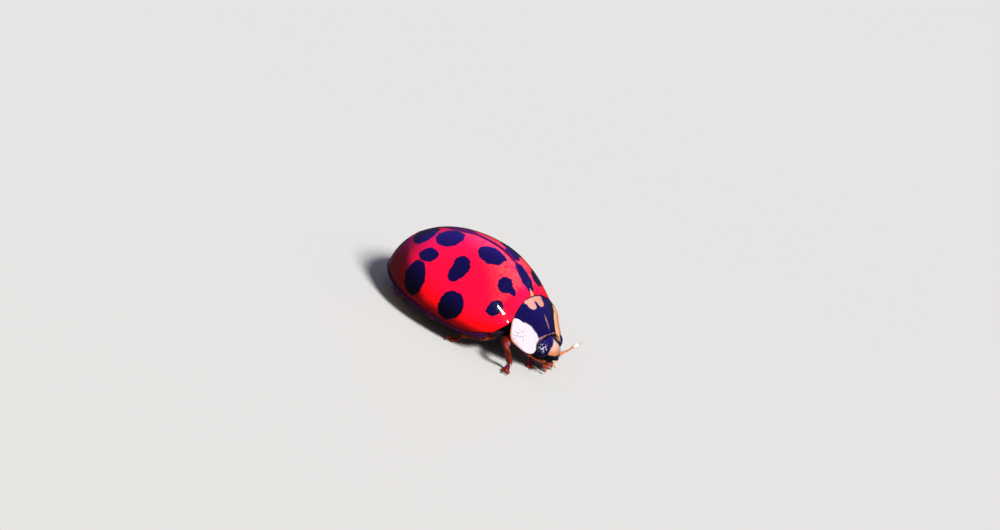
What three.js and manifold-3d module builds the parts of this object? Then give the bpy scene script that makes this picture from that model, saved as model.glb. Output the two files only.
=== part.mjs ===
// Harlequin ladybird (Harmonia axyridis, red form with black spots), life size, standing on its six feet.
// Millimetres. +Z is up, the head looks along -Y, the beetle's left side is +X and the floor is Z = 0.
// The origin is on the floor, under the middle of the body.

import * as THREE from 'three';
import { mergeVertices } from 'three/addons/utils/BufferGeometryUtils.js';
import Module from 'manifold-3d';

const wasm = await Module();
wasm.setup();

// ---------------------------------------------------------------- driving dimensions

const GAP = 0.03; // left between neighbouring pieces
const GRID = 0.002; // cut pieces are snapped to this, so that no edge is vanishingly short
const SHELL = 0.5; // thickness of the wing cases

const RIM_HEIGHT = 0.55; // floor to the lowest part of the wing cases' edge
const DOME_HEIGHT = 2.34; // that edge to the highest point of the wing cases
const FRONT_HEIGHT = 1.49; // that edge to the seam's front end
const HALF_WIDTH = 2.73; // of the wing cases at their widest
const SHOULDER_HALF_WIDTH = 1.96;
const FRONT = -1.45; // Y of the seam's front end
const REAR = 3.5; // Y of the wing cases' tip
const WIDEST = 0.5; // Y of the greatest width
const SUMMIT = 0.47; // Y of the highest point
const RIM_RISE_FRONT = 0.48; // how far the edge climbs by RIM_RISE_START ahead of the origin
const RIM_RISE_START = 1.6;
const RIM_RISE_REAR = 0.2; // how far the edge climbs from Y = 1 to the tip
const SHOULDER_REACH = 0.39; // how far the front edge's sides reach ahead of its middle
const SHOULDER_ROUNDING = 0.39; // how far the shoulder's lower corner is drawn back
const SHOULDER_LIFT = 0.35; // how far up the side that corner reaches, as a share of the arc
const THINNEST = 0.05; // least half-width and height of a dome
// exponents of the dome's curves, 2 being an ellipse
const SECTION_CURVE = 1.97;
const REAR_CURVE = 2.03;
const FRONT_CURVE = 2.2;
const BACK_CURVE = 2.11;
const BELLY_DEPTH = 0.2; // how far the belly hangs below the edge
const SCUTELLUM = { halfWidth: 0.2, length: 0.32, thickness: 0.32, slope: 0.2 };

// the rings of the body under the wing cases, and how far along it each one ends
const BODY_START = 0.025;
const RINGS = [
  ['mesothorax', 0.13],
  ['metathorax', 0.4],
  ['abdomen_1', 0.55],
  ['abdomen_2', 0.67],
  ['abdomen_3', 0.78],
  ['abdomen_4', 0.88],
  ['abdomen_5', 0.985],
];

const SHIELD_PITCH = THREE.MathUtils.degToRad(37.5); // downward slope of the neck shield's middle line
const SHIELD_LENGTH = 1.4; // along that slope, to the middle of its front edge
const SHIELD_HALF_WIDTH = 1.68;
const SHIELD_BACK_CORNER = new THREE.Vector2(1.6, 0.7); // sideways, and down the slope
const SHIELD_FRONT_CORNER = new THREE.Vector2(1.0, 1.76);
const SHIELD_CENTRE = new THREE.Vector2(0, 0.8);
const SHIELD_SIDE_PULL = 0.08; // how far the curve of its side is drawn out past the half width
const SHIELD_SIDE_START = 0.41; // how far down the slope that curve sets out from the back corner
const SHIELD_SIDE_END = new THREE.Vector2(0.28, 0.1); // its end: inward of the widest, behind the corner
const SHIELD_FRONT_LEVEL = 0.75; // how far from the middle the front edge turns towards the front corner
const SHIELD_MIDDLE = 0.75; // down the slope, where the shield stands proudest
const SHIELD_SWELL = 0.1; // how proud it stands there
const SHIELD_SAG = { back: 0.14, front: 0.185 }; // how fast its surface drops towards the sides
const SHIELD_ASIDE = -0.06; // X of its middle line
const SHIELD_ROLL = 0.055; // how far it leans over to its right
const SHIELD_SHARE = 0.6; // inner face of the shield, as a share of the way out from the heart
const NECK_HEART = new THREE.Vector3(0, -2.0, 0.85); // the middle of the prothorax
// the underside of the prothorax, ring by ring inwards: share of the shield's outline, and height
const CHEST = [[0.95, 0.75], [0.7, 0.55], [0.3, 0.48]];
const CHEST_SHARE = 0.82; // of the way out from the heart

const HEAD_TURN = THREE.MathUtils.degToRad(9); // of the whole head, towards its left
const HEAD_ROLL = THREE.MathUtils.degToRad(5); // its left side down
const HEAD_PIVOT = new THREE.Vector3(0, -2.5, 0.75);
const HEAD_ASIDE = 0.08; // how far to its left the head is set
const HEAD = { back: -2.63, depth: 0.46, level: 0.68, halfWidth: 0.88, halfHeight: 0.46, lean: 0.3 };
const CLYPEUS = { back: -2.88, depth: 0.24, level: 0.46, halfWidth: 0.42, halfHeight: 0.2, lean: 0 };
const LABRUM = { back: -2.72, depth: 0.34, level: 0.24, halfWidth: 0.3, halfHeight: 0.16, lean: 0 };
const EYE_CENTRE = new THREE.Vector3(0.81, -2.62, 0.82);
const EYE_RADII = new THREE.Vector3(0.23, 0.27, 0.31);

const FEMUR_RADIUS = 0.24;
const TIBIA_RADIUS = 0.22;
const FOOT_HALF_WIDTH = 0.23;
const FOOT_HEIGHT = 0.3;
const HEEL_LENGTH = 0.15; // how far a foot reaches back past its ankle
const FEELER_RADIUS = 0.2;
const PALP_RADIUS = 0.13;

// hip, knee, ankle and toe of each leg. The right fore foot stands wide, the left one is drawn in under
// the head, and the right middle and hind feet are tucked in under the edge.
const LEGS = {
  fore_right: [[-0.7, -1.5, 0.58], [-2.28, -2.13, 0.86], [-1.81, -2.32, 0.32], [-2.3, -2.48, 0]],
  mid_right: [[-0.75, -1.0, 0.4], [-2.15, -1.16, 0.47], [-1.95, -0.46, 0.3], [-2.4, -0.15, 0]],
  hind_right: [[-0.6, 0.35, 0.28], [-2.15, 0.6, 0.32], [-1.5, 2.0, 0.28], [-0.95, 2.7, 0]],
  fore_left: [[0.7, -1.5, 0.42], [0.8, -2.2, 0.3], [-0.35, -2.42, 0.3], [-0.55, -2.7, 0]],
  mid_left: [[0.75, -1.0, 0.4], [2.3, -1.1, 0.45], [2.5, -0.45, 0.3], [2.85, 0.0, 0]],
  hind_left: [[0.6, 0.35, 0.28], [2.2, 0.95, 0.3], [2.15, 2.1, 0.28], [2.4, 2.75, 0]],
};

// feeler and palp paths, from the root to the tip
const FEELERS = {
  left: [[0.5, -2.95, 0.5], [1.0, -3.05, 0.68], [1.42, -3.0, 0.73], [1.9, -3.02, 0.8]],
  right: [[-0.5, -2.98, 0.48], [-0.8, -2.9, 0.46], [-1.0, -2.65, 0.45], [-1.1, -2.35, 0.43]],
};
const PALPS = {
  left: [[0.42, -2.8, 0.34], [0.5, -2.95, 0.24], [0.42, -3.08, 0.18]],
  right: [[-0.42, -2.8, 0.34], [-0.5, -2.95, 0.24], [-0.42, -3.06, 0.18]],
};

// ---------------------------------------------------------------- materials

function paint(colour, roughness) {
  return new THREE.MeshStandardMaterial({ color: colour, roughness, metalness: 0 });
}

const RED = paint(0xd4101c, 0.15);
const BLACK = paint(0x101014, 0.2);
const BROWN = paint(0x6e2410, 0.3);
const EYE_BLACK = paint(0x0c1030, 0.15);

// ---------------------------------------------------------------- making solids

function clamp01(t) {
  return Math.min(1, Math.max(0, t));
}

function vectors(points) {
  return points.map(([x, y, z]) => new THREE.Vector3(x, y, z));
}

function series(count, make) {
  return Array.from({ length: count }, (_, i) => make(i));
}

function middle(ring) {
  return ring.reduce((sum, p) => sum.add(p), new THREE.Vector3()).divideScalar(ring.length);
}

function signedVolume(points, faces) {
  return faces.reduce((sum, [a, b, c]) => {
    return sum + points[a].dot(new THREE.Vector3().crossVectors(points[b], points[c])) / 6;
  }, 0);
}

// A closed surface through rings of equally many points, closed at each end by a fan.
function loft(rings) {
  const sides = rings[0].length;
  const points = [...rings.flat(), middle(rings[0]), middle(rings.at(-1))];
  const [first, last] = [points.length - 2, points.length - 1];
  const end = (rings.length - 1) * sides;
  const faces = [];
  for (let k = 0; k < sides; k += 1) {
    const next = (k + 1) % sides;
    faces.push([first, next, k], [last, end + k, end + next]);
    for (let here = 0; here < end; here += sides) {
      const there = here + sides;
      faces.push([here + k, here + next, there + next], [here + k, there + next, there + k]);
    }
  }
  const outward = signedVolume(points, faces) > 0 ? faces : faces.map(([a, b, c]) => [a, c, b]);
  const geometry = new THREE.BufferGeometry().setFromPoints(points);
  geometry.setIndex(outward.flat());
  geometry.computeVertexNormals();
  return geometry;
}

// Merges equal corners and leaves out faces that have shrunk to a line.
function welded(geometry, grid) {
  const bare = geometry.clone();
  bare.deleteAttribute('normal');
  bare.deleteAttribute('uv');
  const position = bare.attributes.position;
  if (grid) position.array.forEach((v, i) => { position.array[i] = Math.round(v / grid) * grid; });
  const merged = mergeVertices(bare, 1e-5);
  const index = Array.from(merged.index.array);
  const corners = [];
  for (let i = 0; i < index.length; i += 3) {
    const [a, b, c] = index.slice(i, i + 3);
    if (a !== b && b !== c && c !== a) corners.push(a, b, c);
  }
  merged.setIndex(corners);
  return merged;
}

function toSolid(geometry) {
  const merged = welded(geometry);
  return new wasm.Manifold(new wasm.Mesh({
    numProp: 3,
    vertProperties: new Float32Array(merged.attributes.position.array),
    triVerts: new Uint32Array(merged.index.array),
  }));
}

// Cutting can leave crumbs of no size, so only the largest body is kept.
function largest(solid) {
  return solid.decompose().reduce((best, body) => (body.volume() > best.volume() ? body : best));
}

function toGeometry(solid) {
  const mesh = largest(solid).getMesh();
  const geometry = new THREE.BufferGeometry();
  geometry.setAttribute('position', new THREE.BufferAttribute(new Float32Array(mesh.vertProperties), 3));
  geometry.setIndex(new THREE.BufferAttribute(new Uint32Array(mesh.triVerts), 1));
  const snapped = welded(geometry, GRID);
  snapped.computeVertexNormals();
  return snapped;
}

// What is left of a shape when the room that its neighbours take is cut away.
function carved(geometry, neighbours) {
  return toGeometry(neighbours.reduce((rest, other) => rest.subtract(toSolid(other)), toSolid(geometry)));
}

// A round bar along a smooth line. taper(t) scales its radius, t running from 0 to 1.
function bar(path, radius, taper = () => 1, steps = 7, sides = 10) {
  const curve = new THREE.CatmullRomCurve3(path);
  const frames = curve.computeFrenetFrames(steps, false);
  return loft(series(steps + 1, (i) => {
    const centre = curve.getPointAt(i / steps);
    const r = radius * taper(i / steps);
    return series(sides, (k) => {
      const angle = (2 * Math.PI * k) / sides;
      return centre.clone()
        .addScaledVector(frames.normals[i], r * Math.cos(angle))
        .addScaledVector(frames.binormals[i], r * Math.sin(angle));
    });
  }));
}

// ---------------------------------------------------------------- the dome of the wing cases

function rimLevel(y) {
  const ahead = Math.max(0, -y / RIM_RISE_START);
  const behind = clamp01((y - 1) / (REAR - 1));
  return RIM_HEIGHT + RIM_RISE_FRONT * ahead ** 2 + RIM_RISE_REAR * behind ** 2;
}

// The height of a quarter of a superellipse, from 1 at t = 0 to 0 at t = 1.
function quarter(t, exponent) {
  return (1 - clamp01(t) ** exponent) ** (1 / exponent);
}

function domeHalfWidth(y) {
  if (y >= WIDEST) return HALF_WIDTH * quarter((y - WIDEST) / (REAR - WIDEST), REAR_CURVE);
  const ahead = clamp01((WIDEST - y) / (WIDEST - FRONT)) ** FRONT_CURVE;
  return SHOULDER_HALF_WIDTH + (HALF_WIDTH - SHOULDER_HALF_WIDTH) * (1 - ahead);
}

function domeTop(y) {
  if (y >= SUMMIT) {
    const arch = quarter((y - SUMMIT) / (REAR - SUMMIT), BACK_CURVE);
    return RIM_HEIGHT + RIM_RISE_REAR + (DOME_HEIGHT - RIM_RISE_REAR) * arch;
  }
  const ahead = clamp01((SUMMIT - y) / (SUMMIT - FRONT));
  return RIM_HEIGHT + FRONT_HEIGHT + (DOME_HEIGHT - FRONT_HEIGHT) * (1 - ahead ** 2);
}

// How far the wing case's inner edge is from the middle: half a gap, but more round the scutellum.
function seamX(y) {
  const notch = SCUTELLUM.halfWidth * Math.max(0, 1 - (y - FRONT) / SCUTELLUM.length);
  return GAP / 2 + (notch ? notch + GAP / 2 : 0);
}

// A point of the dome, or of a smaller one, inset from it. share runs from 0 at the front edge to 1 at the
// tip, and lift from 0 at the edge to 1 near the middle, where the distance from the middle is inner(y).
function domePoint(share, lift, inset, inner, rounding) {
  const rear = REAR - inset;
  const corner = rounding * Math.max(0, 1 - lift / SHOULDER_LIFT) ** 2;
  const start = FRONT + GAP + corner;
  const y = start + (rear - start) * share;
  const width = Math.max(THINNEST, domeHalfWidth(start + (REAR - start) * share) - inset);
  const edge = rimLevel(y);
  const height = Math.max(THINNEST, domeTop(y) - edge - inset);
  const steepest = Math.acos(Math.min(0.98, (inner(y) / width) ** (SECTION_CURVE / 2)));
  const angle = steepest * lift;
  const x = width * Math.cos(angle) ** (2 / SECTION_CURVE);
  const pull = clamp01((1 - y) / (1 - FRONT)) ** 2 * (x / SHOULDER_HALF_WIDTH) ** 2;
  const z = edge + height * Math.sin(angle) ** (2 / SECTION_CURVE);
  return new THREE.Vector3(x, y - SHOULDER_REACH * pull, z);
}

function mirror(ring) {
  return ring.map((p) => new THREE.Vector3(-p.x, p.y, p.z));
}

// Stations along the dome, closer together at both ends.
function station(i, count) {
  return (1 - Math.cos((Math.PI * i) / count)) / 2;
}

function elytron(side) {
  const [stations, steps] = [17, 12];
  return loft(series(stations, (i) => {
    const share = station(i, stations - 0.5);
    const wall = (lift, inset) => domePoint(share, lift, inset, seamX, SHOULDER_ROUNDING);
    const outer = series(steps + 1, (k) => wall(k / steps, 0));
    const inner = series(steps + 1, (k) => wall(1 - k / steps, SHELL));
    const ring = [...outer, ...inner];
    return side > 0 ? ring : mirror(ring);
  }));
}

// The body under the wing cases, from one station to another, with its belly hanging below their edge.
function hindBody(from, to, count, grow = 0) {
  const [steps, under] = [10, 5];
  const inset = SHELL + GAP - grow;
  return loft(series(count, (i) => {
    const share = from + ((to - from) * i) / (count - 1);
    const left = series(steps + 1, (k) => domePoint(share, k / steps, inset, () => 0, 0));
    const right = mirror(left).reverse().slice(1);
    const belly = series(under, (k) => {
      const across = (k + 1) / (under + 1);
      const point = new THREE.Vector3().lerpVectors(right.at(-1), left[0], across);
      return point.setZ(point.z - grow - BELLY_DEPTH * Math.sin(Math.PI * across) ** 0.6);
    });
    return [...left, ...right, ...belly];
  }));
}

function scutellum() {
  const { halfWidth, length, thickness, slope } = SCUTELLUM;
  const half = halfWidth - 2 * GAP;
  const shape = new THREE.Shape();
  shape.moveTo(-half, 0);
  shape.lineTo(half, 0);
  shape.lineTo(0, length - 3 * GAP);
  const bottom = RIM_HEIGHT + FRONT_HEIGHT - thickness;
  return new THREE.ExtrudeGeometry(shape, { depth: thickness, bevelEnabled: false })
    .rotateX(slope)
    .translate(0, FRONT + 2 * GAP + thickness * slope, bottom);
}

// ---------------------------------------------------------------- the neck shield and the prothorax

// The shield's own surface: x sideways and v down its slope. It swells in the middle and drops at the sides.
function shieldPoint(x, v) {
  const along = Math.max(-SHIELD_SWELL, SHIELD_SWELL * (1 - (v / SHIELD_MIDDLE - 1) ** 2));
  const towardsFront = THREE.MathUtils.smoothstep(v, SHIELD_MIDDLE - 0.1, SHIELD_MIDDLE + 0.5);
  const sag = THREE.MathUtils.lerp(SHIELD_SAG.back, SHIELD_SAG.front, towardsFront);
  const n = along - sag * x * x + SHIELD_ROLL * x;
  const aside = x + SHIELD_ASIDE;
  const [c, s] = [Math.cos(SHIELD_PITCH), Math.sin(SHIELD_PITCH)];
  return new THREE.Vector3(aside, FRONT - v * c - n * s, RIM_HEIGHT + FRONT_HEIGHT - v * s + n * c);
}

function shieldOutline() {
  const shape = new THREE.Shape();
  const [back, front] = [SHIELD_BACK_CORNER, SHIELD_FRONT_CORNER];
  shape.moveTo(0, 0);
  shape.quadraticCurveTo(back.x / 2, 0, back.x, back.y);
  const widest = SHIELD_HALF_WIDTH + SHIELD_SIDE_PULL;
  const end = SHIELD_SIDE_END;
  shape.bezierCurveTo(widest, back.y + SHIELD_SIDE_START, widest - end.x, front.y - end.y, front.x, front.y);
  shape.quadraticCurveTo(SHIELD_FRONT_LEVEL, SHIELD_LENGTH, 0, SHIELD_LENGTH);
  const right = shape.getPoints(6);
  const left = right.slice(1, -1).reverse().map((p) => new THREE.Vector2(-p.x, p.y));
  return [...right, ...left];
}

// The outline drawn in to share of its size on the shield's surface, at reach of the way out from the heart.
function shieldRing(share, reach) {
  return shieldOutline().map((p) => {
    const q = SHIELD_CENTRE.clone().lerp(p, share);
    return NECK_HEART.clone().lerp(shieldPoint(q.x, q.y), reach);
  });
}

function pronotum() {
  const outer = [0.15, 0.45, 0.75, 0.95, 1].map((share) => shieldRing(share, 1));
  const inner = [1, 0.75, 0.45, 0.15].map((share) => shieldRing(share, SHIELD_SHARE));
  return loft([...outer, ...inner]);
}

// The outline's shadow on the underside of the prothorax, kept below the shield's edge.
function chestRing(share, level) {
  const drop = 0.25;
  return shieldRing(share, CHEST_SHARE).map((p) => p.setZ(Math.min(level, p.z - drop)));
}

function prothorax(grow = 0) {
  const reach = SHIELD_SHARE - GAP + grow / 3;
  const dome = [0.15, 0.45, 0.75, 1].map((share) => shieldRing(share, reach));
  const chest = CHEST.map(([share, level]) => chestRing(share, level - grow));
  return loft([...dome, ...chest]);
}

// ---------------------------------------------------------------- head, eyes and mouth

function turned(geometry) {
  const { x, y, z } = HEAD_PIVOT;
  return geometry.translate(-x, -y, -z).rotateY(HEAD_ROLL).rotateZ(HEAD_TURN).translate(x + HEAD_ASIDE, y, z);
}

// Half of an ellipsoid with its flat side at the back. Its face leans, the chin ahead of the brow.
function cap({ back, depth, level, halfWidth, halfHeight, lean }, grow = 0, sides = 16, steps = 6) {
  return turned(loft(series(steps, (i) => {
    const angle = ((Math.PI / 2) * i) / (steps - 0.4);
    const [forward, spread] = [Math.sin(angle), Math.cos(angle)];
    return series(sides, (k) => {
      const turn = (2 * Math.PI * k) / sides;
      const x = (halfWidth + grow) * spread * Math.cos(turn);
      const up = (halfHeight + grow) * spread * Math.sin(turn);
      const y = back + grow - (depth + 2 * grow) * forward + lean * up * forward;
      return new THREE.Vector3(x, y, level + up);
    });
  })));
}

function eye(side, grow = 0) {
  const radii = EYE_RADII.clone().addScalar(grow);
  const geometry = new THREE.SphereGeometry(1, 14, 10).scale(radii.x, radii.y, radii.z);
  return turned(geometry.translate(EYE_CENTRE.x * side, EYE_CENTRE.y, EYE_CENTRE.z));
}

// ---------------------------------------------------------------- legs

function foot(ankle, toe, grow = 0) {
  const along = new THREE.Vector3().subVectors(toe, ankle).setZ(0).normalize();
  const across = new THREE.Vector3(-along.y, along.x, 0);
  const heel = ankle.clone().addScaledVector(along, -HEEL_LENGTH).setZ(0);
  const length = heel.distanceTo(toe);
  const profile = [[-1, 0], [1, 0], [1, 0.55], [0.6, 1], [-0.6, 1], [-1, 0.55]];
  return loft([0, 0.15, 0.5, 0.85, 1].map((t) => {
    const taper = t === 0 || t === 1 ? 0.65 : 1;
    const centre = heel.clone().addScaledVector(along, t * length + grow * (2 * t - 1));
    const halfWidth = FOOT_HALF_WIDTH * taper + grow;
    const height = FOOT_HEIGHT * (1 - t / 4) * Math.sqrt(taper) + grow;
    return profile.map(([aside, up]) => {
      return centre.clone().addScaledVector(across, aside * halfWidth).setZ(up ? up * height : -grow);
    });
  }));
}

function tibia(knee, ankle, grow = 0) {
  const bow = knee.clone().lerp(ankle, 0.5);
  return bar([knee, bow, ankle], TIBIA_RADIUS + grow, (t) => 0.9 + 0.1 * Math.sin(Math.PI * t), 5);
}

function femur(hip, knee) {
  const bow = hip.clone().lerp(knee, 0.5);
  return bar([hip, bow, knee], FEMUR_RADIUS, (t) => 0.88 + 0.12 * Math.sin(Math.PI * t), 6);
}

// ---------------------------------------------------------------- assembly

const beetle = new THREE.Group();

function place(name, geometry, material) {
  const mesh = new THREE.Mesh(geometry, material);
  mesh.name = name;
  beetle.add(mesh);
}

const SIDES = { left: 1, right: -1 };
const EYE_ROOM = [eye(SIDES.left, GAP), eye(SIDES.right, GAP)];
const HEAD_ROOM = [cap(HEAD, GAP), cap(CLYPEUS, GAP), cap(LABRUM, GAP), ...EYE_ROOM];
const BODY_ROOM = [hindBody(BODY_START, RINGS.at(-1)[1], 16, 2 * GAP), prothorax(4 * GAP)];
const ringGap = GAP / (REAR - FRONT);

place('pronotum', pronotum(), BLACK);
place('scutellum', scutellum(), BLACK);
place('prothorax', prothorax(), BLACK);
RINGS.forEach(([name, end], i) => {
  const start = i ? RINGS[i - 1][1] + ringGap : BODY_START;
  place(name, hindBody(start, end, i < 2 ? 4 : 3), BLACK);
});
place('head', carved(cap(HEAD), [cap(CLYPEUS, GAP), cap(LABRUM, GAP), ...EYE_ROOM]), BLACK);
place('clypeus', carved(cap(CLYPEUS), [cap(LABRUM, GAP)]), BLACK);
place('labrum', cap(LABRUM), BROWN);
for (const [side, sign] of Object.entries(SIDES)) {
  place(`elytron_${side}`, elytron(sign), RED);
  place(`eye_${side}`, carved(eye(sign), [pronotum(), prothorax(GAP)]), EYE_BLACK);
}

for (const [name, joints] of Object.entries(LEGS)) {
  const [hip, knee, ankle, toe] = vectors(joints);
  place(`femur_${name}`, carved(femur(hip, knee), [tibia(knee, ankle, GAP), ...BODY_ROOM]), BROWN);
  place(`tibia_${name}`, carved(tibia(knee, ankle), [foot(ankle, toe, GAP), ...BODY_ROOM]), BROWN);
  place(`tarsus_${name}`, foot(ankle, toe), BROWN);
}
for (const [side, path] of Object.entries(FEELERS)) {
  const swell = (t) => 0.85 + 0.2 * THREE.MathUtils.smoothstep(t, 0.6, 0.8);
  place(`antenna_${side}`, carved(bar(vectors(path), FEELER_RADIUS, swell, 8, 8), HEAD_ROOM), BROWN);
}
for (const [side, path] of Object.entries(PALPS)) {
  const feeler = bar(vectors(FEELERS[side]), FEELER_RADIUS + GAP, () => 1, 8, 8);
  const palp = bar(vectors(path), PALP_RADIUS, () => 1, 3, 8);
  place(`palp_${side}`, carved(palp, [...HEAD_ROOM, feeler]), BROWN);
}

export default beetle;
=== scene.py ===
"""A harlequin ladybird (Harmonia axyridis, red form with black spots), life size, standing on its six feet.

Sizes are in millimetres and become metres when a mesh is made. +Z is up, the head looks along -Y, and the
beetle's left side is +X. The wing cases, eyes and jaws are shaped on the left side and mirrored for the right
ones, while the legs, antennae and palps are given for each side.
"""

import math

import bmesh
import bpy
import numpy as np
from mathutils import Matrix, Vector


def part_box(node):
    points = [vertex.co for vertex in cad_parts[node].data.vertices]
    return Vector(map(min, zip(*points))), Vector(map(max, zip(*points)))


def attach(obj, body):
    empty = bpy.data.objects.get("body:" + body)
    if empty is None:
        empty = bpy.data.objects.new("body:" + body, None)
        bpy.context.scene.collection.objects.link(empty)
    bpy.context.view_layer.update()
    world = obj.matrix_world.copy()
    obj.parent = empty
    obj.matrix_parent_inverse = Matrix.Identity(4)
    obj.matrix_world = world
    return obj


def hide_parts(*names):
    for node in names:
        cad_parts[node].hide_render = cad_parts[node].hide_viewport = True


MM = 0.001
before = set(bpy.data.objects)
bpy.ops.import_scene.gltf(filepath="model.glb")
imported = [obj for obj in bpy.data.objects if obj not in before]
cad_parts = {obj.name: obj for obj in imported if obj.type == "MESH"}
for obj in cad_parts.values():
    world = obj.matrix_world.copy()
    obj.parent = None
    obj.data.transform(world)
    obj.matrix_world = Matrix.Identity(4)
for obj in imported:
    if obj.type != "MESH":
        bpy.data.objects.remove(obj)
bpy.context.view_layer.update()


# ---- driving dimensions

SIDES = {"left": 1, "right": -1}

case_low, case_high = (np.array(corner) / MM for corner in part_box("elytron_left"))
MARGIN = 0.008  # keeps the rounded edges inside the box of the solids
RIM = case_low[2]  # height of the lowest part of the wing cases' edge
HALF_WIDTH = case_high[0] - MARGIN
REAR = case_high[1] - MARGIN
DOME = case_high[2] - RIM
FRONT = -1.45  # Y of the seam's front end
FRONT_HEIGHT = 1.49  # of the seam's front end, above the edge
SHOULDER = 1.96  # half-width there
SHOULDER_Y, SHOULDER_FADE = -1.15, 0.45  # where the flat edge is widest, and how soon that fades
WIDEST = 0.5  # Y of the greatest width
SUMMIT = 0.47  # Y of the highest point
RISE_FRONT, RISE_START = 0.48, 1.6  # how far the edge climbs towards the shoulders, and over what length
RISE_REAR = 0.2
REACH = 0.39  # how far the front edge's sides reach ahead of its middle
CORNER, CORNER_LIFT = 0.39, 0.35  # rounding of the shoulders' lower corner
SECTION_CURVE, REAR_CURVE, FRONT_CURVE, BACK_CURVE = 1.97, 2.03, 2.2, 2.11  # 2 is an ellipse
FLANGE, TIP_FLANGE, SHOULDER_FLANGE = 0.065, 0.015, 0.2  # width of the flat edge round the dome
SHELF = 0.13  # how far that edge slopes down at the shoulder
CASE_THICKNESS = 0.09
CASE_START = 0.02  # gap behind the neck shield
SEAM = 0.007  # half the gap between the wing cases
NOTCH_HALF_WIDTH, NOTCH_LENGTH = 0.15, 0.25  # where the scutellum lies
PLATE_INSET = 0.47  # from the wing cases' outline to that of the belly's plates
BELLY = 0.2  # how far the belly hangs below the edge

PITCH = math.radians(37.5)  # slope of the neck shield
SHIELD_TOP = np.array([-0.06, FRONT, RIM + FRONT_HEIGHT])  # middle of its rear edge
SHIELD_MIDDLE, SHIELD_SWELL = 0.75, 0.1  # how far down the slope it is fullest, and by how much
SHIELD_CENTRE = np.array([0.0, 0.8])  # its rings shrink towards this
SAG_BACK, SAG_FRONT = 0.14, 0.185  # how much its sides fall away, at its rear and front
ROLL = 0.055  # how far the shield leans over to its right
NECK_HEART = np.array([0.0, -2.0, 0.85])  # the rings of the prothorax shrink towards this

# the head before it is turned, rolled and set aside
HEAD_CENTRE = np.array([0.0, -2.54, 0.68])
HEAD_RADII = np.array([0.89, 0.55, 0.47])
HEAD_LEAN = 0.3  # how far the face leans back for each millimetre upwards
SOCKET = (0.52, 0.55)  # sideways and up, where an antenna is set
SOCKET_RADII, SOCKET_DEPTH = (0.1, 0.09), 0.05
HEAD_TURN = math.radians(9)  # towards its left
HEAD_ROLL = math.radians(5)  # its left side down
HEAD_PIVOT = np.array([0.0, -2.5, 0.75])
HEAD_ASIDE = np.array([0.08, 0.0, 0.0])  # how far to its left the head is set
EYE_CENTRE = np.array([0.82, -2.62, 0.82])  # of the left one
EYE_RADII = np.array([0.23, 0.27, 0.31])

# hip, knee, ankle and toe
LEGS = {
    "fore_right": [(-0.75, -1.42, 0.7), (-2.28, -2.13, 0.86), (-1.79, -2.31, 0.3), (-2.25, -2.46, 0.0)],
    "mid_right": [(-0.75, -1.0, 0.4), (-2.08, -1.14, 0.56), (-1.95, -0.46, 0.28), (-2.4, -0.15, 0.0)],
    "hind_right": [(-0.6, 0.35, 0.28), (-2.15, 0.6, 0.32), (-1.5, 2.0, 0.28), (-0.95, 2.7, 0.0)],
    "fore_left": [(0.7, -1.5, 0.42), (0.8, -2.2, 0.34), (-0.35, -2.42, 0.34), (-0.55, -2.7, 0.0)],
    "mid_left": [(0.75, -1.0, 0.4), (2.3, -1.1, 0.5), (2.5, -0.45, 0.3), (2.85, 0.0, 0.0)],
    "hind_left": [(0.6, 0.35, 0.28), (2.2, 0.95, 0.3), (2.15, 2.1, 0.28), (2.4, 2.75, 0.0)],
}
# the middle lines of antennae and palps, from root to tip
FEELERS = {
    "left": [(0.47, -2.9, 0.52), (1.0, -3.02, 0.68), (1.42, -3.0, 0.73), (1.9, -3.02, 0.8)],
    "right": [(-0.42, -2.94, 0.47), (-0.62, -2.86, 0.45), (-0.83, -2.6, 0.49), (-0.93, -2.25, 0.54)],
}
PALPS = {
    "left": [(0.3, -2.86, 0.3), (0.4, -3.0, 0.26), (0.41, -3.06, 0.21), (0.38, -3.1, 0.16)],
    "right": [(-0.3, -2.86, 0.3), (-0.4, -2.98, 0.24), (-0.4, -3.05, 0.18), (-0.34, -3.08, 0.1)],
}

# Spots of a wing case: distance from the seam over the dome, Y, half-size across, half-size along, and
# turn in degrees. Of the last five rows, four lengthen a spot above and one widens the seam's dark line.
SPOTS = [
    (0.0, -0.92, 0.34, 0.55, 0),
    (1.22, -0.76, 0.36, 0.28, 10),
    (2.14, -0.87, 0.34, 0.22, 20),
    (0.79, 0.2, 0.49, 0.45, 0),
    (2.1, 0.6, 0.52, 0.29, 0),
    (3.27, 0.19, 0.48, 0.43, 0),
    (0.9, 1.72, 0.58, 0.46, -10),
    (1.96, 1.82, 0.29, 0.35, -5),
    (2.89, 1.74, 0.62, 0.39, -30),
    (0.74, 2.6, 0.66, 0.42, -12),
    (1.1, -1.0, 0.18, 0.16, 0),
    (1.97, -0.94, 0.17, 0.16, 0),
    (0.5, -0.08, 0.18, 0.18, 0),
    (1.78, 0.68, 0.25, 0.25, 0),
    (0.0, 1.85, 0.3, 0.65, 0),
]
SPOT_DEPTH = 3.0  # through the shell, so that a spot bends with the dome
# the left wing case has these as well
LEFT_SPOTS = [
    (0.28, -0.1, 0.3, 0.3, 0),
    (0.85, -0.95, 0.3, 0.3, 0),
]


# ---- camera, floor and light

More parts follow.
